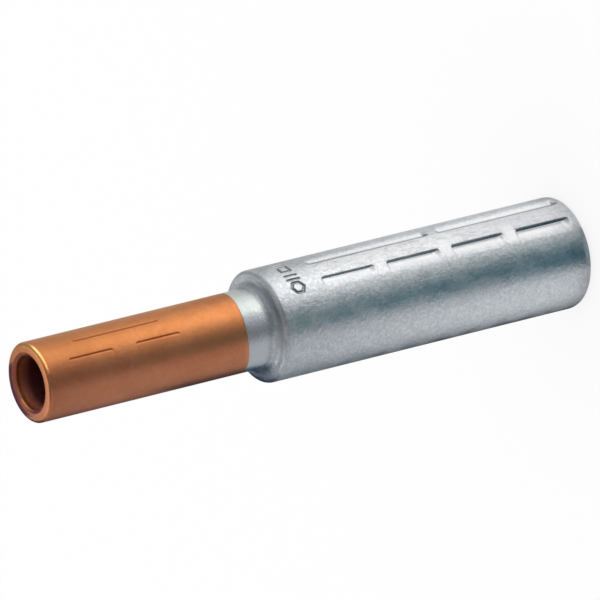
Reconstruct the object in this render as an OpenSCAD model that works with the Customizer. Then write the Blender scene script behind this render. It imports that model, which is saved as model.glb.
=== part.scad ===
// Bimetal compression connector: an aluminium barrel joined end to end to a copper sleeve.
// Each half takes one stripped cable, and is crimped where its stamped marks say.
// The part stands on its aluminium end. Z runs along the bore and z = 0 is the aluminium mouth.

/* [Aluminium barrel] */
// Outer diameter of the barrel
barrel_d = 14; // [12:0.1:16]
// Length of the barrel, from its mouth to the shoulder
barrel_len = 44.8; // [42:0.1:60]
// Rounding of the outer edge at the mouth
barrel_end_round = 1.25; // [0.3:0.05:1.5]
// Rounding of the outer edge at the shoulder
shoulder_round = 0.6; // [0.2:0.05:0.8]

/* [Aluminium bore] */
// Diameter of the bore for the aluminium cable
barrel_bore_d = 8; // [6:0.1:9]
// Depth of that bore to the end of its full diameter
barrel_bore_depth = 40; // [36:0.5:42]
// Width of the countersink round its mouth
barrel_mouth_chamfer = 0.5; // [0.1:0.05:0.8]

/* [Neck] */
// Length of the turned neck, from the shoulder to the weld
neck_len = 4.15; // [3:0.05:8]
// Fillet in the corner between the neck and the shoulder
neck_fillet = 1; // [0.2:0.05:1.2]

/* [Copper sleeve] */
// Outer diameter of the sleeve, and of the neck that it is welded to
sleeve_d = 10; // [9.5:0.1:11]
// Length of the sleeve, from the weld to its mouth
sleeve_len = 28.15; // [26:0.05:40]
// Rounding of the outer edge at the mouth
sleeve_end_round = 0.45; // [0.1:0.05:0.6]

/* [Copper bore] */
// Diameter of the bore for the copper cable
sleeve_bore_d = 6.8; // [5:0.1:7.2]
// Depth of that bore to the end of its full diameter
sleeve_bore_depth = 23; // [20:0.5:24]
// Width of the countersink round its mouth
sleeve_mouth_chamfer = 0.4; // [0.1:0.05:0.75]

/* [Drilling] */
// Point angle of the drill that leaves the cone at the bottom of each bore
drill_point_angle = 118; // [90:1:150]
// Angle of the countersink at each mouth
countersink_angle = 120; // [90:1:130]

/* [Crimp marks on the aluminium] */
// Distance from the mouth to the first mark
barrel_mark_start = 1.7; // [1.5:0.1:3]
// Marks in the row for a narrow crimping die
barrel_narrow_count = 4; // [1:1:4]
// Length of one narrow mark
barrel_narrow_len = 7.6; // [4:0.1:8]
// Marks in the row for a wide crimping die
barrel_wide_count = 2; // [1:1:2]
// Length of one wide mark
barrel_wide_len = 17; // [8:0.1:17.5]
// Plain metal left between two marks of a row
barrel_mark_gap = 1.8; // [0.8:0.1:2]
// Half of the plain strip between the two rows
barrel_row_offset = 1.36; // [0.8:0.02:2]
// How far the stamp sinks below the crest of the barrel
barrel_mark_depth = 0.58; // [0.3:0.02:0.8]
// Direction that the stamp comes from, turned from the front towards the right
barrel_stamp_turn = 46; // [0:1:360]

/* [Crimp marks on the copper] */
// Distance from the mouth to the middle of the marked stretch
sleeve_mark_middle = 11.35; // [10:0.05:16]
// Marks in the row for a narrow crimping die
sleeve_narrow_count = 2; // [1:1:2]
// Length of one narrow mark
sleeve_narrow_len = 6.1; // [4:0.1:7]
// Marks in the row for a wide crimping die
sleeve_wide_count = 1; // [1:1:1]
// Length of one wide mark
sleeve_wide_len = 12; // [8:0.1:16]
// Plain metal left between two marks of a row
sleeve_mark_gap = 3.4; // [1:0.1:4]
// Half of the plain strip between the two rows
sleeve_row_offset = 1.18; // [0.8:0.02:1.4]
// How far the stamp sinks below the crest of the sleeve
sleeve_mark_depth = 0.22; // [0.2:0.02:0.5]
// Direction that the stamp comes from, turned from the front towards the right
sleeve_stamp_turn = 33; // [0:1:360]

/* [Stamp] */
// Radius at the inner corners of each mark
mark_corner = 0.35; // [0.1:0.05:0.6]

/* [Hidden] */
$fn = 96;
barrel_r = barrel_d / 2;
sleeve_r = sleeve_d / 2;
weld_z = barrel_len + neck_len;
top_z = weld_z + sleeve_len;
barrel_mark_middle = barrel_mark_start
    + row_length(barrel_narrow_count, barrel_narrow_len, barrel_mark_gap) / 2;
arc_steps = 12; // straight steps in one rounded corner
overrun = 1;    // how far a cutter passes the surface that it cuts

// Points on an arc, from one angle to another
function arc(centre, r, from, to) =
    [for (i = [0:arc_steps])
        let (a = from + (to - from) * i / arc_steps)
        centre + r * [cos(a), sin(a)]];

// Length that a row of marks covers
function row_length(count, len, gap) = count * len + (count - 1) * gap;

// Profile of the aluminium piece without its bore, radius first, height second
barrel_profile = concat(
    [[0, 0]],
    arc([barrel_r - barrel_end_round, barrel_end_round], barrel_end_round, -90, 0),
    arc([barrel_r - shoulder_round, barrel_len - shoulder_round], shoulder_round, 0, 90),
    arc([sleeve_r + neck_fillet, barrel_len + neck_fillet], neck_fillet, 270, 180),
    [[sleeve_r, weld_z], [0, weld_z]]);

// Profile of the copper piece without its bore
sleeve_profile = concat(
    [[0, weld_z], [sleeve_r, weld_z]],
    arc([sleeve_r - sleeve_end_round, top_z - sleeve_end_round], sleeve_end_round, 0, 90),
    [[0, top_z]]);

// Drilled and countersunk blind hole, with its mouth at z = 0 and its point upwards
module blind_bore(d, depth, chamfer) {
    r = d / 2;
    flare = tan(countersink_angle / 2);
    cylinder(r = r, h = depth);
    translate([0, 0, depth])
        cylinder(r1 = r, r2 = 0, h = r / tan(drill_point_angle / 2));
    translate([0, 0, -overrun])
        cylinder(r1 = r + chamfer + overrun * flare, r2 = r, h = overrun + chamfer / flare);
}

// Outline of one mark, seen along the stamp: its inner wall lies on x = 0 and is len long
module mark_outline(len, reach) {
    translate([mark_corner, -len / 2])
        square([reach - mark_corner, len]);
    translate([0, mark_corner - len / 2])
        square([reach, len - 2 * mark_corner]);
    for (side = [-1, 1])
        translate([mark_corner, side * (len / 2 - mark_corner)])
            circle(r = mark_corner);
}

// Row of flat-bottomed marks on the front of a round of radius r, centred on z = 0.
// The floor is flat and the metal curves away from the stamp, so only the inner wall is steep.
module mark_row(r, count, len, gap, depth) {
    pitch = len + gap;
    for (i = [0:count - 1])
        translate([0, depth - r, (i - (count - 1) / 2) * pitch])
            rotate([90, 0, 0])
                linear_extrude(height = depth + overrun)
                    mark_outline(len, r);
}

// Both rows of one stamp: narrow marks on the left, wide marks on the right
module stamp(r, turn, offset, depth, gap, narrow, wide) {
    rotate([0, 0, turn]) {
        translate([-offset, 0, 0])
            mirror([1, 0, 0])
                mark_row(r, narrow[0], narrow[1], gap, depth);
        translate([offset, 0, 0])
            mark_row(r, wide[0], wide[1], gap, depth);
    }
}

// Barrel and neck, turned from one bar
module aluminium_sleeve() {
    color("silver")
        difference() {
            rotate_extrude() polygon(barrel_profile);
            blind_bore(barrel_bore_d, barrel_bore_depth, barrel_mouth_chamfer);
            translate([0, 0, barrel_mark_middle])
                stamp(barrel_r, barrel_stamp_turn, barrel_row_offset, barrel_mark_depth,
                    barrel_mark_gap, [barrel_narrow_count, barrel_narrow_len],
                    [barrel_wide_count, barrel_wide_len]);
        }
}

// Copper tube, closed at the weld
module copper_sleeve() {
    color("peru")
        difference() {
            rotate_extrude() polygon(sleeve_profile);
            translate([0, 0, top_z])
                mirror([0, 0, 1])
                    blind_bore(sleeve_bore_d, sleeve_bore_depth, sleeve_mouth_chamfer);
            translate([0, 0, top_z - sleeve_mark_middle])
                stamp(sleeve_r, sleeve_stamp_turn, sleeve_row_offset, sleeve_mark_depth,
                    sleeve_mark_gap, [sleeve_narrow_count, sleeve_narrow_len],
                    [sleeve_wide_count, sleeve_wide_len]);
        }
}

aluminium_sleeve();
copper_sleeve();
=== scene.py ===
from math import cos, radians, sin, tan

import bmesh
import bpy
import numpy as np
from mathutils import Matrix, Vector


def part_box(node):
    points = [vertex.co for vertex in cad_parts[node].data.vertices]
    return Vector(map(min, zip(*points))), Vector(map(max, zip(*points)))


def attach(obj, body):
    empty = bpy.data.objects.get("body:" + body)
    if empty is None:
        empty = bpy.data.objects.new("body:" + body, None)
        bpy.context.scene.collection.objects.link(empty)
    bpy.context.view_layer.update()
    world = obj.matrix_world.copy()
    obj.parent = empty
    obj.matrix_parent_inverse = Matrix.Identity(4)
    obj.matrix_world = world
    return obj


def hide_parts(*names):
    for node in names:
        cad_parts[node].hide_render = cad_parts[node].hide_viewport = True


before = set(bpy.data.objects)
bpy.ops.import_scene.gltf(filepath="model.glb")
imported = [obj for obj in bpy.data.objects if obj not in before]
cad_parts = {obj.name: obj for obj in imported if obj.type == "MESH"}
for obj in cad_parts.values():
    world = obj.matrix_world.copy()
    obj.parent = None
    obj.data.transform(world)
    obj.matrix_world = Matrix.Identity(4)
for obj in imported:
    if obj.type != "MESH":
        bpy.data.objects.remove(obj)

print("frame loaded")
mm = 0.001
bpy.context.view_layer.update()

# The outer sizes come from the solids, in metres
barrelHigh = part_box("aluminium_sleeve")[1]
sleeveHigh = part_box("copper_sleeve")[1]
barrelRadius = barrelHigh.x
sleeveRadius = sleeveHigh.x
weldHeight = barrelHigh.z
topHeight = sleeveHigh.z

flatSlack = 0.01 * mm   # heights closer than this are the same
roundSlack = 0.02 * mm  # and so are radii closer than this
skinDepth = 0.05 * mm   # the outer skin is what lies within this of the round

bpy.ops.object.select_all(action="DESELECT")


# Selecting in edit mode, by a test on each face or edge

def pick(kind, test):
    mesh = bpy.context.active_object.data
    bpy.ops.mesh.select_mode(type={"faces": "FACE", "edges": "EDGE"}[kind])
    bpy.ops.mesh.select_all(action="DESELECT")
    cage = bmesh.from_edit_mesh(mesh)
    for item in getattr(cage, kind):
        if test(item):
            item.select_set(True)
    cage.select_flush_mode()
    bmesh.update_edit_mesh(mesh)


def radiusOf(point):
    return Vector((point.x, point.y)).length


def bearing(point):
    # Degrees round the axis, from the front towards the right
    return np.degrees(np.arctan2(point.x, -point.y))


def bearings(points):
    return np.degrees(np.arctan2(points[:, 0], -points[:, 1]))


def flatAt(height):
    # The flat cap or ring that lies at a height
    return lambda face: abs(face.normal.z) > 0.99 and abs(face.calc_center_median().z - height) < flatSlack


def rimAt(radius, height):
    # The edges of one circle
    def test(edge):
        ends = [v.co for v in edge.verts]
        return all(abs(p.z - height) < flatSlack and abs(radiusOf(p) - radius) < roundSlack for p in ends)
    return test


def longEdges(radius, low, high):
    # The edges along the axis, on a round, between two heights
    def test(edge):
        a, b = (v.co for v in edge.verts)
        onRound = abs(radiusOf(a) - radius) < roundSlack and abs(radiusOf(b) - radius) < roundSlack
        return onRound and min(a.z, b.z) > low - flatSlack and max(a.z, b.z) < high + flatSlack \
            and abs(a.z - b.z) > 1 * mm
    return test


# Shaping steps that both pieces share

def startRound(name, sides, radius, low, high):
    bpy.ops.object.select_all(action="DESELECT")
    bpy.ops.mesh.primitive_cylinder_add(vertices=sides, radius=radius, depth=high - low,
        end_fill_type="NGON", location=(0, 0, (low + high) / 2))
    piece = bpy.context.active_object
    piece.name = piece.data.name = name
    bpy.ops.object.transform_apply(location=True, rotation=True, scale=True)
    bpy.ops.object.mode_set(mode="EDIT")
    return piece


def step(height, fromRadius, toRadius, rise):
    # Turns the selected cap inwards to a new radius, then pulls it along the axis
    if toRadius != fromRadius:
        bpy.ops.mesh.extrude_region_move(TRANSFORM_OT_translate={"value": (0, 0, 0)})
        shrink = toRadius / fromRadius
        bpy.ops.transform.resize(value=(shrink, shrink, 1), center_override=(0, 0, height))
    if rise != 0:
        bpy.ops.mesh.extrude_region_move(TRANSFORM_OT_translate={"value": (0, 0, rise)})


def drill(mouth, inward, rimRadius, d):
    # Countersunk blind bore with a drill point, cut into the selected cap
    flare = (d["mouthRadius"] - d["boreRadius"]) / tan(radians(d["countersink"] / 2))
    rings = (rimRadius, *d["faceRings"], d["mouthRadius"])
    for outer, inner in zip(rings, rings[1:]):
        step(mouth, outer, inner, 0)
    bpy.ops.mesh.extrude_region_move(TRANSFORM_OT_translate={"value": (0, 0, inward * flare)})
    shrink = d["boreRadius"] / d["mouthRadius"]
    bpy.ops.transform.resize(value=(shrink, shrink, 1), center_override=(0, 0, mouth + inward * flare))
    for length in (*d["boreSteps"], d["boreDepth"] - flare - sum(d["boreSteps"])):
        bpy.ops.mesh.extrude_region_move(TRANSFORM_OT_translate={"value": (0, 0, inward * length)})
    point = d["boreRadius"] / tan(radians(d["drillPoint"] / 2))
    bpy.ops.mesh.extrude_region_move(TRANSFORM_OT_translate={"value": (0, 0, inward * point)})
    bpy.ops.mesh.merge(type="CENTER")
    return flare


def bevelRim(radius, height, width, segments):
    pick("edges", rimAt(radius, height))
    bpy.ops.mesh.bevel(offset=width, offset_type="OFFSET", segments=segments, profile=0.5, affect="EDGES",
        clamp_overlap=False)


def refine(radius, low, high, rows, patch):
    # Even rows along the round, and small squares where the stamps went in
    pick("edges", longEdges(radius, low, high))
    bpy.ops.mesh.subdivide(number_cuts=rows)
    def stamped(face):
        middle = face.calc_center_median()
        return abs(radiusOf(middle) - radius) < roundSlack and patch["low"] < middle.z < patch["high"] \
            and patch["from"] < bearing(middle) < patch["to"]
    pick("faces", stamped)
    bpy.ops.mesh.subdivide(number_cuts=patch["cuts"], quadcorner="INNERVERT")


def readPoints(piece):
    points = np.empty(len(piece.data.vertices) * 3)
    piece.data.vertices.foreach_get("co", points)
    return points.reshape(-1, 3)


def writePoints(piece, points):
    piece.data.vertices.foreach_set("co", points.ravel())
    piece.data.update()


def softStep(x):
    t = np.clip(x, 0, 1)
    return t * t * (3 - 2 * t)


def insideBox(x, z, low, high, inner, corner):
    # How deep a point lies inside a mark whose inner wall is at x = inner and which opens to larger x
    halfLength = (high - low) / 2
    reach = 4 * mm
    qx = np.abs(x - inner - reach) - reach + corner
    qz = np.abs(z - (low + high) / 2) - halfLength + corner
    outside = np.hypot(np.maximum(qx, 0), np.maximum(qz, 0)) + np.minimum(np.maximum(qx, qz), 0) - corner
    return -outside


def softOver(x, width):
    # What of x is over zero, with a rounded corner there
    return np.where(np.abs(x) < width, (x + width) ** 2 / (4 * width), np.maximum(x, 0))


def pressStamp(points, radius, s):
    # Pushes the metal in along the stamp's own direction, as the press does.
    # Gives the finish that it leaves at each point: burnished floors, and painted shade in the crevices and
    # along the wide marks' inner walls.
    turn = radians(s["turn"])
    sideways = np.array((cos(turn), sin(turn), 0))
    outwards = np.array((sin(turn), -cos(turn), 0))
    x = points @ sideways
    y = points @ outwards
    z = points[:, 2]
    skin = (np.hypot(points[:, 0], points[:, 1]) > radius - skinDepth) & (y > 0)
    lean = s["lean"] * np.where(x * s["rows"][0]["side"] > 0, np.abs(x) - s["offset"], 0)
    floor = radius - s["depth"] + s["tilt"] * (z - s["tiltFrom"]) - lean
    wall = s["wall"] + s["wallGrowth"] * np.maximum(s["tiltFrom"] - z, 0)
    sunk = np.zeros(len(points))
    drag = np.zeros(len(points))
    gaps = np.zeros(len(points))
    lipShade = np.zeros(len(points))
    corner = np.zeros(len(points))
    edge = np.zeros(len(points))
    slopes = np.zeros(len(points))
    for row in s["rows"]:
        low = row["start"]
        inwards = x * row["side"] - row["offset"]
        for mark in range(row["count"]):
            inside = insideBox(x * row["side"], z, low, low + row["length"], row["offset"], s["corner"])
            within = softStep(inside / wall + 0.5)
            sunk = np.maximum(sunk, within * softStep((z - low) / row["endRamp"] + 0.2))
            # Band across each mark's wall, which takes the painted wall shade below
            edge = np.maximum(edge, 4 * within * (1 - within))
            drag = np.maximum(drag, np.exp(-(np.minimum(inside, 0) / s["dragWidth"]) ** 2))
            corner = np.maximum(corner, np.where(inside > -0.2 * mm, np.exp(-(inwards / s["hook"]) ** 2), 0))
            # Painted shade along the inner wall of the wide marks
            along = row["lipShade"] * softStep(inside / s["lipShadeWidth"] + 1.5)
            lipShade = np.maximum(lipShade, np.exp(-(inwards / s["lipShadeWidth"]) ** 2) * along)
            low += row["length"] + s["gap"]
            if mark < row["count"] - 1:
                middle = (z - low + s["gap"] / 2) / (0.5 * s["gap"])
                across = (inwards - s["gapMiddle"]) / s["gapReach"]
                gaps = np.maximum(gaps, np.exp(-middle ** 4 - across ** 4) * row["gapShine"][mark])
                rising = s["gapSlope"] * np.maximum(s["gapFoot"] - inwards, 0)
                slopes = np.where(np.abs(middle) < 1.5, rising, slopes)
    bite = sunk * softOver(y - floor, s["runOut"])
    slump = (1 - sunk) * drag * s["drag"] * (np.abs(x) < s["offset"] + s["dragReach"])
    sag = (1 - sunk) * softStep(3 * gaps) * softOver(y - floor - s["gapRise"] - slopes, s["runOut"])
    points -= np.where(skin, bite + slump + sag, 0)[:, None] * outwards
    onFloor = np.where(skin, sunk * softStep(bite / s["shineFrom"]) * (1 - lipShade), 0)
    # Painted shade: the steep walls of the marks are darkened where the hook reaches
    wallShade = np.where(skin, edge * softStep((y - floor) / (0.15 * mm)) * corner * (1 - gaps), 0)
    strip = np.where(skin & (z < s["stripTop"]), softStep((s["offset"] - np.abs(x)) / (0.2 * mm)), 0)
    return {"burnished": np.maximum(onFloor, np.where(skin, gaps, 0)),
        "creviceShade": np.maximum(wallShade, np.where(skin, lipShade, 0)), "strip": strip * (1 - onFloor)}


def strokeDistance(across, along, corners):
    # Distance from each point to a run of straight strokes
    nearest = np.full(len(across), 1.0)
    for (x0, z0), (x1, z1) in zip(corners, corners[1:]):
        length = (x1 - x0) ** 2 + (z1 - z0) ** 2
        share = np.clip(((across - x0) * (x1 - x0) + (along - z0) * (z1 - z0)) / length, 0, 1)
        away = np.hypot(across - x0 - share * (x1 - x0), along - z0 - share * (z1 - z0))
        nearest = np.minimum(nearest, away)
    return nearest


def polygonSign(sides, size, turn):
    # Corners of a closed regular outline
    return [(size * sin(radians(turn + 360 * i / sides)), size * cos(radians(turn + 360 * i / sides)))
        for i in range(sides + 1)]


def punchSigns(points, radius, s):
    # Plain stamped signs, one after another round the barrel
    flank = np.hypot(points[:, 0], points[:, 1])
    skin = flank > radius - skinDepth
    around = np.radians(bearings(points)) * radius
    groove = np.zeros(len(points))
    for turn, strokes in s["signs"]:
        for corners in strokes:
            placed = [(radius * radians(turn) + x * s["size"], s["height"] + z * s["size"])
                for x, z in corners]
            away = strokeDistance(around, points[:, 2], placed)
            groove = np.maximum(groove, softStep((s["stroke"] / 2 - away) / s["slope"] + 0.5))
    depth = np.where(skin, groove * s["depth"], 0)
    points[:, :2] *= (1 - depth / flank)[:, None]
    # Painted shade in the strokes of the signs, for the crevice mask
    return np.where(skin, np.maximum(4 * groove * (1 - groove), 0.6 * groove), 0)


def boreDepths(points, within, mouth, full):
    # Rises from 0 at the mouth of a bore to 1 where its painted shade and roughness are full, full being the
    # way there
    flank = np.hypot(points[:, 0], points[:, 1])
    return np.where(flank < within, softStep((points[:, 2] - mouth) / full), 0)


def bowWeld(points, depth):
    # The weld line drops a little on both flanks
    near = softStep(1 - np.abs(points[:, 2] - weldHeight) / (2 * mm))
    points[:, 2] -= depth * np.sin(np.radians(bearings(points))) ** 2 * near


def storeFinish(piece, finish):
    for name, values in finish.items():
        layer = piece.data.attributes.new(name, "FLOAT", "POINT")
        layer.data.foreach_set("value", np.clip(values, 0, 1).astype(np.float32))


# Aluminium sleeve

weldBow = 0.48 * mm               # how far the weld line drops on both flanks

aluminium = {
    "sides": 96,
    "endRound": 1.25 * mm,        # outer edge at the mouth
    "shoulder": 44.8 * mm,        # height of the shoulder
    "shoulderRound": 0.6 * mm,
    "neckFillet": 1 * mm,
    "mouthRadius": 4.5 * mm,      # rim of the countersink
    "faceRings": (),
    "boreRadius": 4 * mm,
    "boreDepth": 40 * mm,
    "boreSteps": (1 * mm, 1 * mm, 2 * mm),
    "countersink": 120,           # degrees
    "drillPoint": 118,            # degrees
    "edgeBreak": 0.05 * mm,       # sharp rims lose this much in the tumbler
    "rightShade": {"from": -5, "to": 95, "height": 1.2 * mm, "fade": 0.6 * mm},  # painted shade on the right: bearings, and its height over the shoulder
    "rows": 63,
    "patch": {"from": 13, "to": 77, "low": 1.3 * mm, "high": 43.4 * mm, "cuts": 7},
}

aluminiumStamp = {
    "turn": 46,                   # degrees from the front towards the right
    "depth": 0.45 * mm,           # at the inner wall of a mark
    "lean": 0.045,                # how the floors of the narrow marks fall away from that wall
    "tilt": 0.0048,               # the stamp sank deeper at the mouth
    "tiltFrom": 33 * mm,
    "offset": 1.36 * mm,
    "corner": 0.35 * mm,
    "gap": 1.8 * mm,
    "wall": 0.09 * mm,            # how far the steep wall spreads
    "wallGrowth": 0.003,          # it spreads more where the stamp sank deeper
    "drag": 0.03 * mm,            # metal dragged down beside a mark
    "dragWidth": 0.16 * mm,
    "dragReach": 1.2 * mm,        # and how far out along the ends of a mark
    "runOut": 0.16 * mm,          # rounding where a floor meets the round
    "hook": 0.4 * mm,             # how far the painted crevice shade turns the corner of a mark
    "lipShadeWidth": 0.33 * mm,        # painted shade along the wide marks' inner walls
    "shineFrom": 0.28 * mm,       # a floor this far under the round is fully burnished
    "stripTop": 38.5 * mm,        # the strip between the rows is paler up to here
    "gapRise": 0.08 * mm,         # metal between two narrow marks sags to this far over their floors
    "gapSlope": 0.25,             # and rises from there to the strip between the rows
    "gapFoot": 1 * mm,            # where that rise starts, measured from the inner wall
    "gapMiddle": 0.35 * mm,       # middle of the sag, measured in the same way
    "gapReach": 1.3 * mm,
    "rows": [
        {"side": -1, "start": 1.7 * mm, "length": 7.6 * mm, "count": 4, "offset": 1.36 * mm,
            "endRamp": 1.1 * mm, "lipShade": 0, "gapShine": (1, 0.85, 0.4)},
        {"side": 1, "start": 1.7 * mm, "length": 17 * mm, "count": 2, "offset": 1.45 * mm,
            "endRamp": 0.6 * mm, "lipShade": 0.9, "gapShine": (0,)},
    ],
}

signs = {
    "height": 41.1 * mm,          # middle of the row of signs, over the mouth
    "size": 0.95 * mm,
    "stroke": 0.3 * mm,
    "slope": 0.16 * mm,           # how far the walls of a stroke spread
    "depth": 0.18 * mm,
    # Bearing of each sign, and its strokes as corners in units of the size
    "signs": [
        (30, [polygonSign(6, 0.9, 0)]),
        (45, [[(-0.55, -0.8), (-0.55, 0.8)], [(0.25, -0.8), (0.25, 0.8)]]),
        (60, [polygonSign(4, 0.95, 45)]),
        (73, [[(-0.3, -0.7), (-0.3, 0.7)]]),
    ],
}


def makeAluminium(d, stamp):
    piece = startRound("aluminiumSleeve", d["sides"], barrelRadius, 0, d["shoulder"])
    pick("faces", flatAt(d["shoulder"]))
    step(d["shoulder"], barrelRadius, sleeveRadius, weldHeight - d["shoulder"])
    pick("faces", flatAt(0))
    flare = drill(0, 1, barrelRadius, d)
    bevelRim(barrelRadius, 0, d["endRound"], 12)
    bevelRim(barrelRadius, d["shoulder"], d["shoulderRound"], 8)
    bevelRim(sleeveRadius, d["shoulder"], d["neckFillet"], 8)
    bevelRim(sleeveRadius, weldHeight, d["edgeBreak"], 3)
    bevelRim(d["mouthRadius"], 0, d["edgeBreak"], 2)
    bevelRim(d["boreRadius"], flare, d["edgeBreak"], 2)
    refine(barrelRadius, d["endRound"], d["shoulder"] - d["shoulderRound"], d["rows"], d["patch"])
    bpy.ops.object.mode_set(mode="OBJECT")
    points = readPoints(piece)
    flank = np.hypot(points[:, 0], points[:, 1])
    straight = (points[:, 2] > d["endRound"]) & (points[:, 2] < d["shoulder"] - d["shoulderRound"]) \
        & (flank > barrelRadius - skinDepth)
    points[straight, :2] *= (barrelRadius / flank[straight])[:, None]
    finish = pressStamp(points, barrelRadius, stamp)
    finish["creviceShade"] = np.maximum(finish["creviceShade"], punchSigns(points, barrelRadius, signs))
    # Painted shade inside the bore, which is also rougher there
    finish["bore"] = boreDepths(points, d["mouthRadius"] + roundSlack, 0, 4 * mm)
    # Painted shade: the fillet and the narrow shoulder are darker on the right
    rightShade = d["rightShade"]
    over = points[:, 2] - d["shoulder"]
    turned = bearings(points)
    finish["filletShade"] = np.where(over > -flatSlack, softStep((rightShade["height"] - over) / rightShade["fade"]), 0) \
        * softStep((turned - rightShade["from"]) / 20) * softStep((rightShade["to"] - turned) / 35)
    bowWeld(points, weldBow)
    writePoints(piece, points)
    storeFinish(piece, finish)
    bpy.ops.object.shade_smooth()
    return piece


# Copper sleeve

copper = {
    "sides": 96,
    "endRound": 0.45 * mm,
    "faceRings": (4.3 * mm, 4.05 * mm),
    "mouthRadius": 3.8 * mm,
    "boreRadius": 3.4 * mm,
    "boreDepth": 23 * mm,
    "boreSteps": (0.3 * mm, 0.3 * mm, 0.4 * mm, 1 * mm),
    "countersink": 120,
    "drillPoint": 118,
    "edgeBreak": 0.05 * mm,
    "crown": 0.1 * mm,            # how far the end face is domed, from its inner rim to the outer round
    "shadeFrom": 70,               # bearing at which the painted shade on the countersink starts
    "rows": 44,
    "patch": {"from": 8, "to": 60, "low": 57 * mm, "high": 75 * mm, "cuts": 7},
}

copperStamp = {
    "turn": 33,
    "depth": 0.2 * mm,
    "lean": 0,
    "tilt": 0,
    "tiltFrom": 65 * mm,
    "offset": 1.18 * mm,
    "corner": 0.35 * mm,
    "gap": 3.4 * mm,
    "wall": 0.1 * mm,
    "wallGrowth": 0,
    "drag": 0.015 * mm,
    "dragWidth": 0.12 * mm,
    "dragReach": 1.2 * mm,
    "runOut": 0.03 * mm,
    "hook": 0.4 * mm,
    "lipShadeWidth": 0.16 * mm,
    "shineFrom": 0.2 * mm,
    "stripTop": 0,                # no pale strip on the copper
    "gapRise": 1 * mm,            # the copper's gaps don't sag or shine
    "gapSlope": 0,
    "gapFoot": 1 * mm,
    "gapMiddle": 0.35 * mm,
    "gapReach": 1.3 * mm,
    "rows": [
        {"side": -1, "start": 57.95 * mm, "length": 6.1 * mm, "count": 2, "offset": 1.18 * mm,
            "endRamp": 0.2 * mm, "lipShade": 0.8, "gapShine": (0,)},
        {"side": 1, "start": 59.75 * mm, "length": 12 * mm, "count": 1, "offset": 1.18 * mm,
            "endRamp": 0.2 * mm, "lipShade": 0.8, "gapShine": ()},
    ],
}


def makeCopper(d, stamp):
    piece = startRound("copperSleeve", d["sides"], sleeveRadius, weldHeight, topHeight)
    pick("faces", flatAt(topHeight))
    flare = drill(topHeight, -1, sleeveRadius, d)
    bevelRim(sleeveRadius, topHeight, d["endRound"], 8)
    bevelRim(sleeveRadius, weldHeight, d["edgeBreak"], 3)
    bevelRim(d["mouthRadius"], topHeight, d["edgeBreak"], 2)
    bevelRim(d["boreRadius"], topHeight - flare, d["edgeBreak"], 2)
    refine(sleeveRadius, weldHeight + d["edgeBreak"], topHeight - d["endRound"], d["rows"], d["patch"])
    bpy.ops.object.mode_set(mode="OBJECT")
    points = readPoints(piece)
    flank = np.hypot(points[:, 0], points[:, 1])
    straight = (points[:, 2] > weldHeight + d["edgeBreak"]) & (points[:, 2] < topHeight - d["endRound"]) \
        & (flank > sleeveRadius - skinDepth)
    points[straight, :2] *= (sleeveRadius / flank[straight])[:, None]
    finish = pressStamp(points, sleeveRadius, stamp)
    # Painted shade inside the bore, which is also rougher there
    finish["bore"] = boreDepths(points, d["boreRadius"] + roundSlack, topHeight - 0.4 * mm, -1.6 * mm)
    # Painted shade: the countersink is darker on the far side
    turned = bearings(points)
    turned = np.where(turned < -150, turned + 360, turned)
    sunken = (flank < d["mouthRadius"] + roundSlack) & (points[:, 2] > topHeight - flare - d["edgeBreak"])
    farShade = 0.6 * softStep((turned - d["shadeFrom"]) / 30)
    finish["bore"] = np.maximum(finish["bore"], np.where(sunken, farShade, 0))
    over = softStep((points[:, 2] - topHeight + d["endRound"]) / d["endRound"])
    outwards = np.maximum(flank - d["mouthRadius"], 0) / (sleeveRadius - d["mouthRadius"])
    points[:, 2] += over * d["crown"] * (0.655 - outwards * (0.35 + 0.65 * outwards))
    finish["rim"] = np.where(flank > d["boreRadius"] + 0.03 * mm, over, 0)
    # Painted highlight: the outer round of the end face is brighter and yellower on the front right
    finish["edge"] = finish["rim"] * softStep((flank - sleeveRadius + 1.3 * d["endRound"]) / d["endRound"]) \
        * softStep((points[:, 0] - 0.5 * mm) / (2 * mm)) * softStep((1 * mm - points[:, 1]) / (2 * mm))
    bowWeld(points, weldBow)
    writePoints(piece, points)
    storeFinish(piece, finish)
    bpy.ops.object.shade_smooth()
    return piece


# Materials

class Signal:
    # One output socket, so that shader maths reads as plain sums
    def __init__(self, recipe, socket):
        self.recipe = recipe
        self.socket = socket

    def maths(self, operation, first, second):
        return self.recipe.add("ShaderNodeMath", {"operation": operation}, {0: first, 1: second})

    def __add__(self, other):
        return self.maths("ADD", self, other)

    def __radd__(self, other):
        return self.maths("ADD", other, self)

    def __sub__(self, other):
        return self.maths("SUBTRACT", self, other)

    def __rsub__(self, other):
        return self.maths("SUBTRACT", other, self)

    def __mul__(self, other):
        return self.maths("MULTIPLY", self, other)

    def __rmul__(self, other):
        return self.maths("MULTIPLY", other, self)


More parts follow.
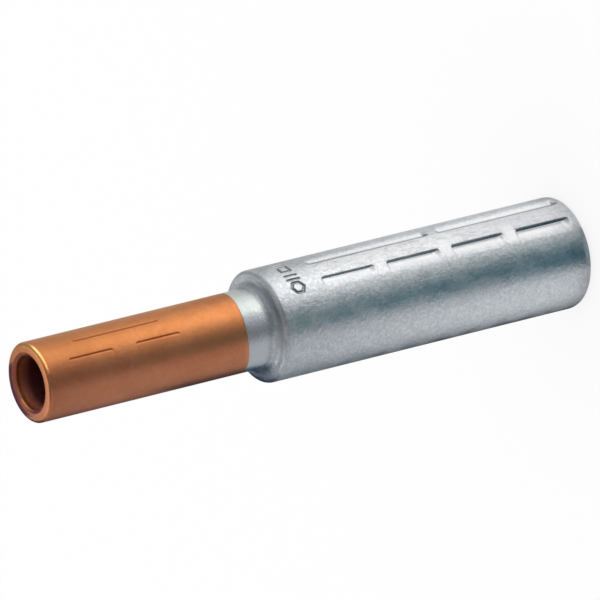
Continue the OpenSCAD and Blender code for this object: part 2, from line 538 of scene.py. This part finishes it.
class Recipe:
    # A material under construction
    def __init__(self, name):
        self.material = bpy.data.materials.new(name)
        self.material.use_nodes = True
        self.tree = self.material.node_tree
        self.tree.nodes.clear()

    def add(self, kind, settings=None, values=None, output=0):
        node = self.tree.nodes.new(kind)
        for key, value in (settings or {}).items():
            setattr(node, key, value)
        for key, value in (values or {}).items():
            if isinstance(value, Signal):
                self.tree.links.new(value.socket, node.inputs[key])
            else:
                node.inputs[key].default_value = value
        return Signal(self, node.outputs[output]) if node.outputs else None

    def place(self, stretch=(1, 1, 1)):
        # Object coordinates in millimetres, squeezed along some axes
        here = self.add("ShaderNodeTexCoord", output="Object")
        scale = [s / mm for s in stretch]
        return self.add("ShaderNodeMapping", None, {"Vector": here, "Scale": scale})

    def height(self):
        # Height over the foot, in metres
        here = self.add("ShaderNodeTexCoord", output="Object")
        return self.add("ShaderNodeSeparateXYZ", None, {"Vector": here}, "Z")

    def side(self):
        # How far to the right of the axis, in metres
        here = self.add("ShaderNodeTexCoord", output="Object")
        return self.add("ShaderNodeSeparateXYZ", None, {"Vector": here}, "X")

    def trait(self, name):
        # What the shaping left at each point, from 0 to 1
        return self.add("ShaderNodeAttribute", {"attribute_name": name}, None, "Fac")

    def noise(self, place, scale, detail, roughness, distortion=0):
        return self.add("ShaderNodeTexNoise", None, {"Vector": place, "Scale": scale, "Detail": detail,
            "Roughness": roughness, "Distortion": distortion})

    def spread(self, signal, low, high):
        # Brings low..high of a signal to 0..1, with soft ends
        return self.add("ShaderNodeMapRange", {"interpolation_type": "SMOOTHSTEP"},
            {"Value": signal, "From Min": low, "From Max": high})

    def blend(self, factor, first, second):
        return self.add("ShaderNodeMix", {"data_type": "RGBA"}, {0: factor, 6: first, 7: second}, 2)

    def finish(self, values):
        shader = self.add("ShaderNodeBsdfPrincipled", None, values)
        self.add("ShaderNodeOutputMaterial", None, {"Surface": shader})
        return self.material


def tumbledAluminium():
    r = Recipe("tumbledAluminium")
    even = r.place()
    around = r.place((0.35, 0.35, 1))                     # drawn out round the barrel
    burnished = r.trait("burnished")
    creviceShade = r.trait("creviceShade")
    strip = r.trait("strip")
    bore = r.trait("bore")
    neck = r.spread(r.height(), weldHeight - 3.4 * mm, weldHeight - 2.8 * mm)
    mottle = r.spread(r.noise(even, 2.1, 4, 0.65, 0.4), 0.35, 0.65)
    patches = r.spread(r.noise(even, 0.45, 3, 0.5), 0.35, 0.65)
    grain = r.noise(even, 5, 3, 0.6)
    streaks = r.noise(around, 2.6, 4, 0.6)
    rings = r.noise(r.place((0.05, 0.05, 1)), 3, 3, 0.6)
    tone = r.blend(0.6 * mottle + 0.4 * patches, (0.58, 0.6, 0.62, 1), (0.78, 0.8, 0.82, 1))
    tone = r.blend(0.3 * r.spread(streaks, 0.5, 0.72), tone, (0.5, 0.52, 0.54, 1))
    flecks = r.spread(r.noise(even, 3.4, 2, 0.5), 0.52, 0.62)
    tone = r.blend(0.35 * flecks, tone, (0.9, 0.92, 0.95, 1))
    pressed = r.blend(r.spread(r.height(), 9 * mm, 20 * mm), (0.7, 0.71, 0.73, 1), (0.86, 0.87, 0.88, 1))
    tone = r.blend(0.8 * strip, tone, pressed)
    scuffs = r.spread(r.noise(r.place((1, 1, 0.3)), 2.4, 4, 0.6), 0.52, 0.6)
    tone = r.blend(0.35 * strip * scuffs, tone, (0.42, 0.43, 0.45, 1))
    tone = r.blend(0.85 * burnished, tone, (0.86, 0.86, 0.86, 1))
    tone = r.blend(0.85 * neck, tone, (0.8, 0.84, 0.835, 1))
    # Painted shade on the fillet and the narrow shoulder, on the right
    tone = r.blend(0.55 * r.trait("filletShade"), tone, (0.34, 0.38, 0.41, 1))
    # Painted shade in the crevices of the marks and the signs
    tone = r.blend(0.85 * creviceShade, tone, (0.1, 0.11, 0.12, 1))
    # Painted shade inside the bore
    tone = r.blend(0.8 * bore, tone, (0.2, 0.2, 0.21, 1))
    rough = 0.32 + 0.1 * patches - 0.05 * mottle - 0.06 * neck - 0.05 * burnished + 0.2 * bore
    height = (0.6 * mottle + 0.6 * grain + 0.25 * streaks) * (1 + strip - 0.6 * neck - 0.5 * burnished) \
        + 0.5 * neck * rings
    bump = r.add("ShaderNodeBump", None, {"Strength": 1, "Distance": 0.026 * mm, "Height": height})
    return r.finish({"Base Color": tone, "Metallic": 1, "Roughness": rough, "Normal": bump})


def turnedCopper():
    r = Recipe("turnedCopper")
    even = r.place()
    around = r.place((0.3, 0.3, 1))
    creviceShade = r.trait("creviceShade")
    bore = r.trait("bore")
    rim = r.trait("rim")
    edge = r.trait("edge")
    blotches = r.spread(r.noise(even, 0.22, 5, 0.6, 0.4), 0.35, 0.65)
    specks = r.spread(r.noise(even, 1.6, 4, 0.6), 0.35, 0.65)
    streaks = r.noise(around, 4, 5, 0.65)
    grain = r.noise(even, 7, 3, 0.6)
    tone = r.blend(0.6 * blotches + 0.4 * specks, (0.7, 0.25, 0.087, 1), (0.81, 0.31, 0.113, 1))
    # Painted light: the left side, where bluish light falls, is pinker
    leftLightTone = r.blend(0.6 * blotches + 0.4 * specks, (0.7, 0.26, 0.125, 1), (0.81, 0.32, 0.16, 1))
    tone = r.blend(r.spread(r.side(), 2.5 * mm, -1.5 * mm), tone, leftLightTone)
    # Darker towards the mouth end
    nearMouth = r.spread(r.height(), topHeight - 11 * mm, topHeight - 2 * mm)
    tone = r.blend(0.22 * nearMouth, tone, (0.4, 0.12, 0.05, 1))
    # Painted shade in the crevices of the marks
    tone = r.blend(0.95 * creviceShade, tone, (0.26, 0.035, 0.01, 1))
    # Painted highlight on the outer round at the front right
    tone = r.blend(edge, tone, (0.97, 0.52, 0.19, 1))
    # Painted shade inside the bore and on the far side of the countersink
    tone = r.blend(0.96 * bore, tone, (0.31, 0.105, 0.11, 1))
    height = (0.5 * streaks + 0.35 * grain + 0.3 * specks) * (1 - 0.6 * rim)
    bump = r.add("ShaderNodeBump", None, {"Strength": 1, "Distance": 0.015 * mm, "Height": height})
    rough = 0.34 + 0.08 * streaks + 1.2 * bore * (1 - bore) + 0.12 * bore - 0.14 * rim
    return r.finish({"Base Color": tone, "Metallic": 1, "Roughness": rough, "Normal": bump})


# Stage

def emitter(name, near, middle, far):
    # Card with one colour near the barrel, one for what the neck sees and one for what the copper sees
    r = Recipe(name)
    here = r.add("ShaderNodeTexCoord", output="Object")
    away = r.add("ShaderNodeVectorMath", {"operation": "LENGTH"}, {0: here}, "Value")
    mixed = r.blend(r.spread(away, 0.055, 0.09), (*near, 1), (*middle, 1))
    mixed = r.blend(r.spread(away, 0.0865, 0.0915), mixed, (*far, 1))
    # Painted shade: each card is darker close to the foot, where the floor lies in the part's shadow, and
    # dims further out
    fade = (0.6 + 0.4 * r.spread(away, 0.0075, 0.013)) * (1 - 0.2 * r.spread(away, 0.12, 0.2))
    glow = r.add("ShaderNodeEmission", None, {"Color": mixed, "Strength": fade})
    r.add("ShaderNodeOutputMaterial", None, {"Surface": glow})
    r.material.cycles.emission_sampling = "NONE"
    return r.material


def floorPaper():
    # White paper that keeps a soft shadow and is white where the camera or the metal sees it
    r = Recipe("floorPaper")
    path = r.tree.nodes.new("ShaderNodeLightPath")
    seen = Signal(r, path.outputs["Is Camera Ray"]) + Signal(r, path.outputs["Is Glossy Ray"]) \
        + Signal(r, path.outputs["Is Transmission Ray"])
    paper = r.add("ShaderNodeBsdfDiffuse", None, {"Color": (0.98, 0.98, 0.98, 1)})
    glow = r.add("ShaderNodeEmission", None, {"Color": (1, 1, 1, 1), "Strength": 1})
    mixed = r.add("ShaderNodeMixShader", None, {0: 0.8 * seen, 1: paper, 2: glow})
    r.add("ShaderNodeOutputMaterial", None, {"Surface": mixed})
    return r.material


def addFloor():
    bpy.ops.object.select_all(action="DESELECT")
    bpy.ops.mesh.primitive_plane_add(size=3, location=(0, 0, -0.05 * mm))
    floor = bpy.context.active_object
    floor.name = "floor"
    floor.data.materials.append(floorPaper())


def addCard(name, points, columns, rows, near, middle, far):
    # A card that only the metal sees, as a mirror sees what stands beside the camera's view
    faces = []
    for i in range(columns):
        for j in range(rows):
            here, beside = i * (rows + 1) + j, (i + 1) * (rows + 1) + j
            faces.append((here, beside, beside + 1, here + 1))
    mesh = bpy.data.meshes.new(name)
    mesh.from_pydata(points, [], faces)
    card = bpy.data.objects.new(name, mesh)
    card.data.materials.append(emitter(name, near, middle, far))
    bpy.context.scene.collection.objects.link(card)
    card.visible_camera = False
    card.visible_diffuse = False
    card.visible_shadow = False
    card.visible_transmission = False


def layCard(name, fromBearing, toBearing, near, middle, far, start=0, height=0.02 * mm):
    # A band of card on the floor. It starts at the foot of the barrel, where the metal turns the camera's
    # view into these bearings, and runs out along them.
    columns = max(2, round(abs(toBearing - fromBearing) / 6))
    points = []
    for i in range(columns + 1):
        turn = fromBearing + (toBearing - fromBearing) * i / columns
        foot = Vector((sin(radians(turn / 2)), -cos(radians(turn / 2)), 0)) * barrelRadius
        run = Vector((sin(radians(turn)), -cos(radians(turn)), 0))
        for point in (foot * 0.9 + run * start, foot + run * 1.2):
            points.append((point.x, point.y, height))
    addCard(name, points, columns, 1, near, middle, far)


def arcCard(name, fromBearing, toBearing, nearEdge, farEdge, colour):
    # A small card bent round the part. Each edge is its distance from the axis and its height.
    points = []
    for turn in range(fromBearing, toBearing + 1, 8):
        for reach, height in (nearEdge, farEdge):
            points.append((reach * sin(radians(turn)), -reach * cos(radians(turn)), height))
    addCard(name, points, (toBearing - fromBearing) // 8, 1, colour, colour, colour)


def flagCard(name, away, sides, heights, colour):
    # A small upright card behind the axis
    points = [(x, away, z) for x in sides for z in heights]
    addCard(name, points, 1, 1, colour, colour, colour)


def addSmallCards(d):
    behind = [(x, y, 0.02 * mm) for x in (barrelRadius, -barrelRadius) for y in (0, d["behindReach"])]
    addCard("floorBehind", behind, 1, 1, *[d["behindTone"]] * 3)
    flagCard("neckFlag", *d["neckFlag"])
    layCard("floorFarBack", *d["farBack"], *[d["farBackTone"]] * 3, start=0.26, height=0.04 * mm)
    flagCard("mouthFlag", *d["mouthFlag"])
    for name in ("mouthGlint", "mouthGlow", "mouthShelf", "footFront"):
        arcCard(name, *d[name])


smallCards = {
    "behindReach": 1.2,           # metres of floor behind the part
    "behindTone": (0.2, 0.22, 0.25),
    "farBack": (176, 222),        # bearings
    "farBackTone": (0.08, 0.1, 0.14),
    # Painted shade: neckFlag and mouthFlag are dark cards that put shade into what the shoulder face and the
    # mouth reflect
    # Distance behind the axis, both sides, both heights, colour
    "neckFlag": (7.3 * mm, (-5 * mm, -20 * mm), (weldHeight - 9 * mm, weldHeight + 4.5 * mm),
        (0.02, 0.045, 0.08)),
    "mouthFlag": (6.2 * mm, (-4.2 * mm, 3 * mm), (topHeight - 1 * mm, topHeight + 2.8 * mm),
        (0.13, 0.1, 0.28)),
    # Bearings, both edges as distance and height, colour
    "mouthGlint": (20, 100, (22 * mm, topHeight), (22 * mm, topHeight + 15 * mm), (2.4, 2.4, 2.4)),
    "mouthGlow": (20, 100, (22 * mm, topHeight + 15 * mm), (22 * mm, topHeight + 60 * mm),
        (0.5, 0.5, 0.5)),
    # Hides the two cards above from the shoulder
    "mouthShelf": (0, 120, (13 * mm, topHeight - 1 * mm), (23 * mm, topHeight - 1 * mm),
        (0.17, 0.2, 0.23)),
    # A little lighter than the floor further out, for the round at the foot
    "footFront": (-24, 16, (5.6 * mm, 0.04 * mm), (8.2 * mm, 0.04 * mm), (0.42, 0.5, 0.54)),
}


def standCard(name, fromBearing, toBearing, low, high, colour, distance=0.9):
    # A bent card that stands round the part, between two heights given as degrees over the horizon
    columns = max(2, round(abs(toBearing - fromBearing) / 6))
    rows = max(1, round(abs(high - low) / 8))
    points = []
    for i in range(columns + 1):
        turn = radians(fromBearing + (toBearing - fromBearing) * i / columns)
        for j in range(rows + 1):
            rise = radians(low + (high - low) * j / rows)
            points.append((distance * cos(rise) * sin(turn), -distance * cos(rise) * cos(turn),
                distance * sin(rise)))
    addCard(name, points, columns, rows, colour, colour, colour)


# The colours of the cards are fitted to the photo's view of the metal. From behind, the dark ones show
# as a long band down both pieces, and neckFlag as a streak by the weld.
floorCards = {
    # Bearings, then the colours near the barrel, where the neck looks and where the copper looks
    "floorFront": (-29, 2, (0.045, 0.13, 0.17), (0.02, 0.33, 0.28), (0.215, 0.19, 0.21)),
    "floorFrontRight": (2, 18, (0.15, 0.22, 0.24), (0.25, 0.34, 0.34), (0.345, 0.335, 0.385)),
    "floorRightEdge": (18, 40, (0.52, 0.55, 0.55), (1.1, 1.15, 1.12), (0.525, 0.515, 0.565)),
    "floorRight": (40, 80, (1.07, 1.07, 1.07), (2.8, 2.7, 2.8), (1.11, 1.14, 1.05)),
    "floorRightSide": (80, 104, (1.16, 1.16, 1.16), (1.3, 1.27, 1.34), (0.82, 0.85, 0.82)),
    "floorRightBack": (104, 124, (0.88, 0.89, 0.9), (0.26, 0.27, 0.28), (0.63, 0.65, 0.64)),
    "floorBack": (124, 162, (0.67, 0.68, 0.7), (0.21, 0.22, 0.21), (0.58, 0.61, 0.56)),
    "floorBackRight": (162, 180, (0.62, 0.64, 0.67), (0.4, 0.4, 0.43), (0.52, 0.55, 0.53)),
    "floorBackLeft": (-180, -138, (0.02, 0.035, 0.045), (0.18, 0.25, 0.25), (0.11, 0.12, 0.14)),
    "floorSideLeft": (-138, -122, (0.35, 0.39, 0.41), (0.26, 0.34, 0.34), (0.38, 0.35, 0.37)),
    "floorLeftBack": (-122, -106, (0.58, 0.6, 0.62), (0.16, 0.21, 0.23), (0.45, 0.47, 0.52)),
    "floorLeft": (-106, -40, (0.745, 0.765, 0.785), (0.33, 0.345, 0.37), (0.46, 0.47, 0.51)),
    "floorLeftFront": (-40, -29, (0.28, 0.32, 0.345), (0.36, 0.42, 0.43), (0.34, 0.31, 0.36)),
}

standingCards = {
    # Bearings, lowest and highest degrees over the horizon, colour
    "standFront": (-35, 22, 0, 60, (0.21, 0.25, 0.27)),
    "standRightFront": (22, 38, 0, 60, (0.15, 0.17, 0.19)),
    "standRight": (38, 125, 0, 8, (1.2, 1.2, 1.2)),
    "standRightMiddle": (38, 125, 8, 28, (0.35, 0.38, 0.41)),
    "standRightHigh": (38, 125, 28, 60, (0.65, 0.67, 0.7)),
    "standRightBack": (125, 160, 0, 24, (0.45, 0.46, 0.47)),
    "standRightBackHigh": (125, 160, 24, 60, (0.35, 0.36, 0.37)),
    "standBackRight": (160, 176, 0, 24, (0.7, 0.71, 0.72)),
    "standBack": (176, 222, 0, 24, (0.08, 0.1, 0.14)),
    "standBackHigh": (160, 235, 24, 38, (0.75, 0.76, 0.78)),
    "standBackTop": (160, 235, 38, 60, (1.2, 1.22, 1.25)),
    "standLeftBack": (222, 235, 0, 24, (0.3, 0.31, 0.33)),
    "standLeft": (235, 325, 0, 30, (0.62, 0.63, 0.65)),
    "standLeftHigh": (235, 325, 30, 60, (0.55, 0.56, 0.58)),
    "standTop": (0, 180, 60, 90, (0.36, 0.36, 0.36)),
    "standTopLeft": (-180, 0, 60, 90, (0.3, 0.31, 0.33)),
}


def addCamera(v):
    elevation, slope = radians(v["elevation"]), radians(v["slope"])
    back = Vector((0, -cos(elevation), sin(elevation)))
    right = Vector((1, 0, 0))
    up = back.cross(right)
    across = -sin(slope) * right - cos(slope) * up
    upright = cos(slope) * right - sin(slope) * up
    middle = v["pictureSize"] / 2
    aim = Vector((0, 0, v["aimHeight"]))
    aim -= across * (v["aimPixel"][0] - middle) / v["pixelsPerMetre"]
    aim += upright * (v["aimPixel"][1] - middle) / v["pixelsPerMetre"]
    data = bpy.data.cameras.new("photoCamera")
    data.sensor_width = v["sensor"]
    data.lens = v["sensor"] * v["distance"] * v["pixelsPerMetre"] / v["pictureSize"]
    data.clip_start, data.clip_end = 0.05, 10
    camera = bpy.data.objects.new("photoCamera", data)
    camera.matrix_world = Matrix.Translation(aim + back * v["distance"]) @ Matrix(
        (across, upright, back)).transposed().to_4x4()
    bpy.context.scene.collection.objects.link(camera)
    bpy.context.scene.camera = camera


photoView = {
    "elevation": 29.96,       # degrees above the bore's cross plane
    "slope": 13.85,           # degrees that the axis rises to the right in the picture
    "distance": 2.121,        # metres
    "aimHeight": 36.36 * mm,  # height on the axis of the point that the next line places
    "aimPixel": (313.7, 312.9),
    "pixelsPerMetre": 8230,
    "pictureSize": 600,
    "sensor": 36,
}


def addWorld():
    world = bpy.data.worlds.new("studio")
    bpy.context.scene.world = world
    world.use_nodes = True
    background = world.node_tree.nodes["Background"]
    background.inputs["Color"].default_value = (1, 1, 1, 1)
    background.inputs["Strength"].default_value = 1


aluminiumPiece = makeAluminium(aluminium, aluminiumStamp)
aluminiumPiece.data.materials.append(tumbledAluminium())
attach(aluminiumPiece, "root")
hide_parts("aluminium_sleeve")
print("aluminium sleeve ready:", len(aluminiumPiece.data.polygons), "faces")

copperPiece = makeCopper(copper, copperStamp)
copperPiece.data.materials.append(turnedCopper())
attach(copperPiece, "root")
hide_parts("copper_sleeve")
print("copper sleeve ready:", len(copperPiece.data.polygons), "faces")

addFloor()
addWorld()
for name, card in floorCards.items():
    layCard(name, *card)
for name, card in standingCards.items():
    standCard(name, *card)
addSmallCards(smallCards)
addCamera(photoView)
bpy.context.scene.view_settings.view_transform = "Standard"
print("stage ready")
